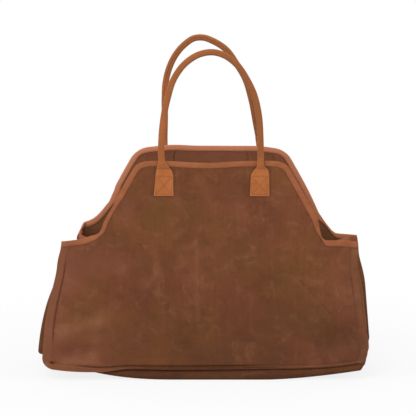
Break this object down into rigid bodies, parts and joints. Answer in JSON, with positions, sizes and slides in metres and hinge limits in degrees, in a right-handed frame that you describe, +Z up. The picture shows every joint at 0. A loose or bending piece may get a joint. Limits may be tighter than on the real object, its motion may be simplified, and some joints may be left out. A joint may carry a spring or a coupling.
{
  "type": "log carrier bag",
  "caption": "Soft open-topped canvas carrier for firewood, with raised front and back walls, folded side gussets and leather loop handles.",
  "frame": {"origin": "on the floor, under the middle of the bag standing open", "axes": "+X to the bag's right seen from the front, +Y from the front panel to the back panel, +Z up"},
  "size_m": [0.6036, 0.1808, 0.6219],
  "materials": {
    "waxed_canvas": "matte",
    "edge_tape": "matte",
    "tan_leather": "satin",
    "handle_cord": "matte"
  },
  "bodies": {
    "base": {"base_panel": "waxed_canvas", "left_gusset": "waxed_canvas", "left_gusset_binding": "edge_tape", "right_gusset": "waxed_canvas", "right_gusset_binding": "edge_tape"},
    "front_wall": {"front_panel": "waxed_canvas", "front_rim_binding": "edge_tape", "front_left_tab": "tan_leather", "front_left_patch": "waxed_canvas", "front_right_tab": "tan_leather", "front_right_patch": "waxed_canvas"},
    "back_wall": {"back_panel": "waxed_canvas", "back_rim_binding": "edge_tape", "back_left_tab": "tan_leather", "back_left_patch": "waxed_canvas", "back_right_tab": "tan_leather", "back_right_patch": "waxed_canvas"},
    "front_handle": {"front_handle_strap": "tan_leather", "front_handle_cord": "handle_cord"},
    "back_handle": {"back_handle_strap": "tan_leather", "back_handle_cord": "handle_cord"}
  },
  "joints": [
    {"name": "front_wall_fold", "type": "slide", "parent": "base", "child": "front_wall", "axis": [0, 1, 0], "range_m": [0, 0.056], "deforming": ["base_panel", "left_gusset", "left_gusset_binding", "right_gusset", "right_gusset_binding"]},
    {"name": "back_wall_fold", "type": "slide", "parent": "base", "child": "back_wall", "axis": [0, -1, 0], "range_m": [0, 0.056]},
    {"name": "front_handle_swing", "type": "hinge", "parent": "front_wall", "child": "front_handle", "pos_m": [0, -0.0827, 0.415], "axis": [1, 0, 0], "range_deg": [-4, 170]},
    {"name": "back_handle_swing", "type": "hinge", "parent": "back_wall", "child": "back_handle", "pos_m": [0, 0.0827, 0.415], "axis": [-1, 0, 0], "range_deg": [-4, 170]}
  ],
  "couplings": [
    {"joint": "back_wall_fold", "follows": "front_wall_fold", "ratio": 1}
  ]
}
